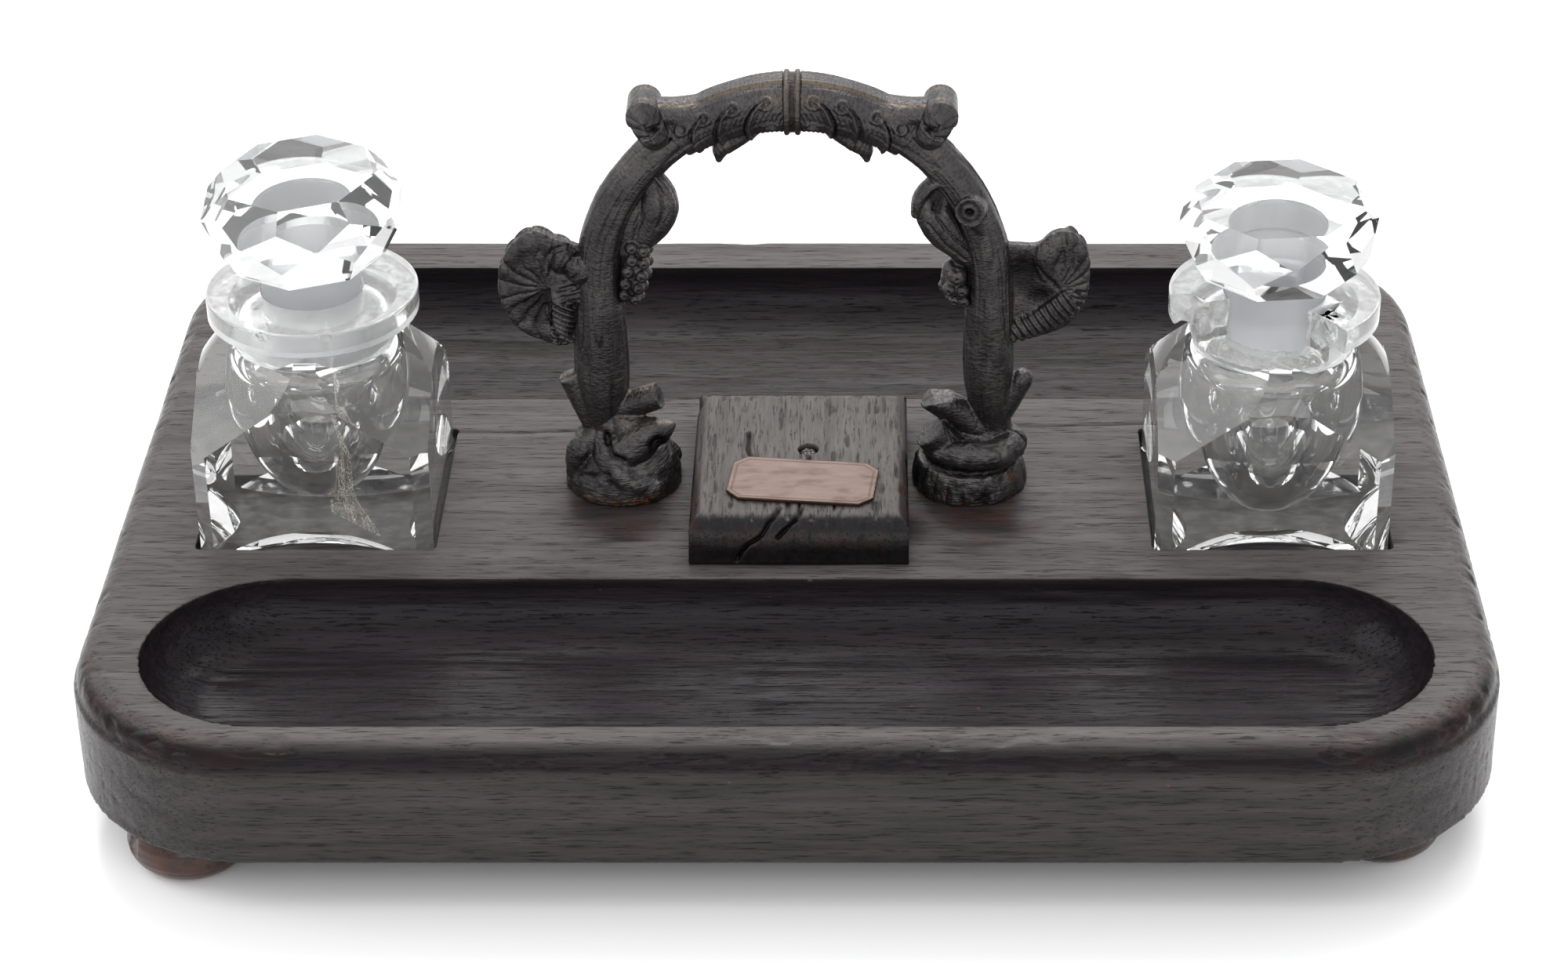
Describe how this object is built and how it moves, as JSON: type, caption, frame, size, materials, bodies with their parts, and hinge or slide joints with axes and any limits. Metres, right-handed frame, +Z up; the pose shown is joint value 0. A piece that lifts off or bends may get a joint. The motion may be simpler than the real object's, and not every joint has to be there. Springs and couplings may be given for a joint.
{
  "type": "desk inkstand",
  "caption": "Oak desk inkstand on bun feet: pen tray, rear trough, cut glass wells with stoppers, stamp box with lift-off lid and a cast vine handle.",
  "frame": {"origin": "on the surface the feet stand on, under the middle of the whole object's box, which is the middle of the board", "axes": "+X to the right along the board's length, +Y to the back, +Z up"},
  "size_m": [0.305, 0.23, 0.1424],
  "materials": {
    "dark_oak": "worn ebonised oak, satin",
    "grey_oak": "dry weathered oak with open pores",
    "plug_wood": "dark dowel end",
    "foot_wood": "turned, dark red brown polish",
    "bronze": "cast and chased, dark brown patina",
    "copper": "dull pinkish copper, brushed",
    "steel": "plain turned steel",
    "crystal": "clear cut glass, plugs and bores ground matt"
  },
  "bodies": {
    "stand": {"base_board": "dark_oak", "foot_front_left": "foot_wood", "foot_front_right": "foot_wood", "foot_rear_left": "foot_wood", "foot_rear_right": "foot_wood", "vine_trunk_left": "bronze", "vine_trunk_right": "bronze", "grip_left": "bronze", "grip_right": "bronze", "grip_collar": "bronze", "vine_leaf_left": "bronze", "vine_leaf_right": "bronze", "grape_sprig_left": "bronze", "grape_sprig_right": "bronze", "handle_stud_left": "steel", "handle_stud_right": "steel", "handle_washer_left": "steel", "handle_washer_right": "steel", "handle_nut_left": "steel", "handle_nut_right": "steel"},
    "stamp_lid": {"stamp_lid": "grey_oak", "lid_knob_plug": "plug_wood", "lid_plate": "copper"},
    "well_left": {"ink_well_left": "crystal"},
    "well_right": {"ink_well_right": "crystal"},
    "stopper_left": {"stopper_left": "crystal"},
    "stopper_right": {"stopper_right": "crystal"}
  },
  "joints": [
    {"name": "lid_lift", "type": "slide", "parent": "stand", "child": "stamp_lid", "axis": [0, 0, 1], "range_m": [0, 0.044]},
    {"name": "well_left_lift", "type": "slide", "parent": "stand", "child": "well_left", "axis": [0, 0, 1], "range_m": [0, 0.08]},
    {"name": "well_right_lift", "type": "slide", "parent": "stand", "child": "well_right", "axis": [0, 0, 1], "range_m": [0, 0.08]},
    {"name": "stopper_left_lift", "type": "slide", "parent": "well_left", "child": "stopper_left", "axis": [0, 0, 1], "range_m": [0, 0.06]},
    {"name": "stopper_right_lift", "type": "slide", "parent": "well_right", "child": "stopper_right", "axis": [0, 0, 1], "range_m": [0, 0.06]}
  ]
}
